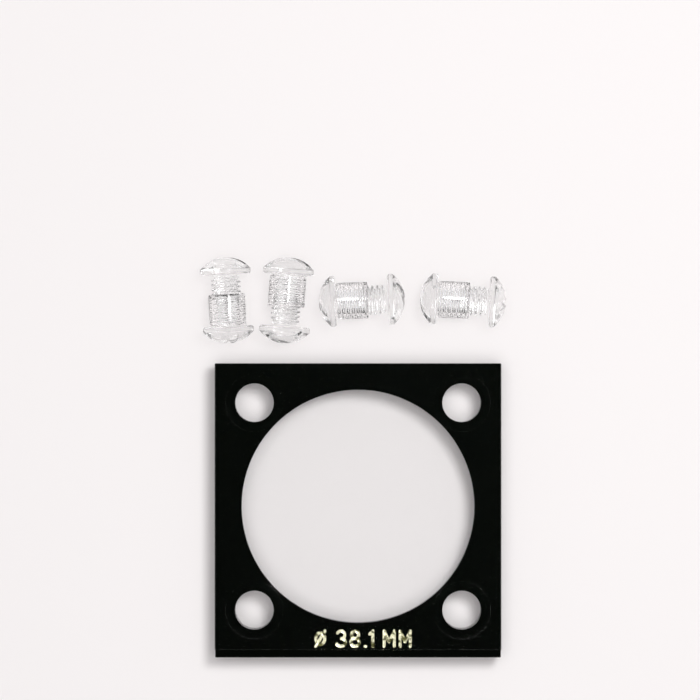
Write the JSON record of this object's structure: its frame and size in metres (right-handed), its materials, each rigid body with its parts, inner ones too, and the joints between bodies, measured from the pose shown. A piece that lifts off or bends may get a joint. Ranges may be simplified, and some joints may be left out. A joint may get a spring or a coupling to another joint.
{
  "type": "coin holder",
  "caption": "Square sandwich coin holder: black frame with a round coin opening between clear cover plates, clamped at the corners by slotted clear screws and posts that lie beside it.",
  "frame": {"origin": "centre of the back cover's outer face, which lies on the table", "axes": "+Z out of the holder's front, +X to the right and +Y to the top as the holder is read"},
  "size_m": [0.0508, 0.0662, 0.0092],
  "materials": {
    "clear_acrylic": "clear cast acrylic sheet, polished faces and sawn edges",
    "black_acrylic": "opaque black cast acrylic sheet, polished",
    "clear_screw_plastic": "clear moulded plastic"
  },
  "bodies": {
    "back_cover": {"back_cover": "clear_acrylic"},
    "coin_frame": {"coin_frame": "black_acrylic"},
    "front_cover": {"front_cover": "clear_acrylic"},
    "post_1": {"post_1": "clear_screw_plastic"},
    "post_2": {"post_2": "clear_screw_plastic"},
    "post_3": {"post_3": "clear_screw_plastic"},
    "post_4": {"post_4": "clear_screw_plastic"},
    "screw_1": {"screw_1": "clear_screw_plastic"},
    "screw_2": {"screw_2": "clear_screw_plastic"},
    "screw_3": {"screw_3": "clear_screw_plastic"},
    "screw_4": {"screw_4": "clear_screw_plastic"}
  },
  "joints": [
    {"name": "frame_lift", "type": "slide", "parent": "back_cover", "child": "coin_frame", "axis": [0, 0, 1], "range_m": [0, 0.045]},
    {"name": "front_cover_lift", "type": "slide", "parent": "coin_frame", "child": "front_cover", "axis": [0, 0, 1], "range_m": [0, 0.045]},
    {"name": "post_1_turn", "type": "hinge", "parent": "back_cover", "child": "post_1", "pos_m": [-0.02172, 0.03404, 0.0042], "axis": [-0.0523, 0.9986, 0], "range_deg": [-721, 1495]},
    {"name": "screw_1_drive", "type": "slide", "parent": "back_cover", "child": "screw_1", "axis": [0.0523, -0.9986, 0], "range_m": [-0.0016, 0.00332]},
    {"name": "post_2_turn", "type": "hinge", "parent": "back_cover", "child": "post_2", "pos_m": [-0.01185, 0.03404, 0.0042], "axis": [-0.0698, -0.9976, 0], "range_deg": [-721, 1495]},
    {"name": "screw_2_drive", "type": "slide", "parent": "back_cover", "child": "screw_2", "axis": [0.0698, 0.9976, 0], "range_m": [-0.0016, 0.00332]},
    {"name": "post_3_turn", "type": "hinge", "parent": "back_cover", "child": "post_3", "pos_m": [0.00064, 0.03404, 0.0042], "axis": [0.9994, 0.0349, 0], "range_deg": [-721, 1495]},
    {"name": "screw_3_drive", "type": "slide", "parent": "back_cover", "child": "screw_3", "axis": [-0.9994, -0.0349, 0], "range_m": [-0.0016, 0.00332]},
    {"name": "post_4_turn", "type": "hinge", "parent": "back_cover", "child": "post_4", "pos_m": [0.01741, 0.03404, 0.0042], "axis": [0.9986, -0.0523, 0], "range_deg": [-721, 1495]},
    {"name": "screw_4_drive", "type": "slide", "parent": "back_cover", "child": "screw_4", "axis": [-0.9986, 0.0523, 0], "range_m": [-0.0016, 0.00332]}
  ],
  "couplings": [
    {"joint": "post_1_turn", "follows": "screw_1_drive", "rad_per_m": 7854},
    {"joint": "post_2_turn", "follows": "screw_2_drive", "rad_per_m": 7854},
    {"joint": "post_3_turn", "follows": "screw_3_drive", "rad_per_m": 7854},
    {"joint": "post_4_turn", "follows": "screw_4_drive", "rad_per_m": 7854}
  ]
}
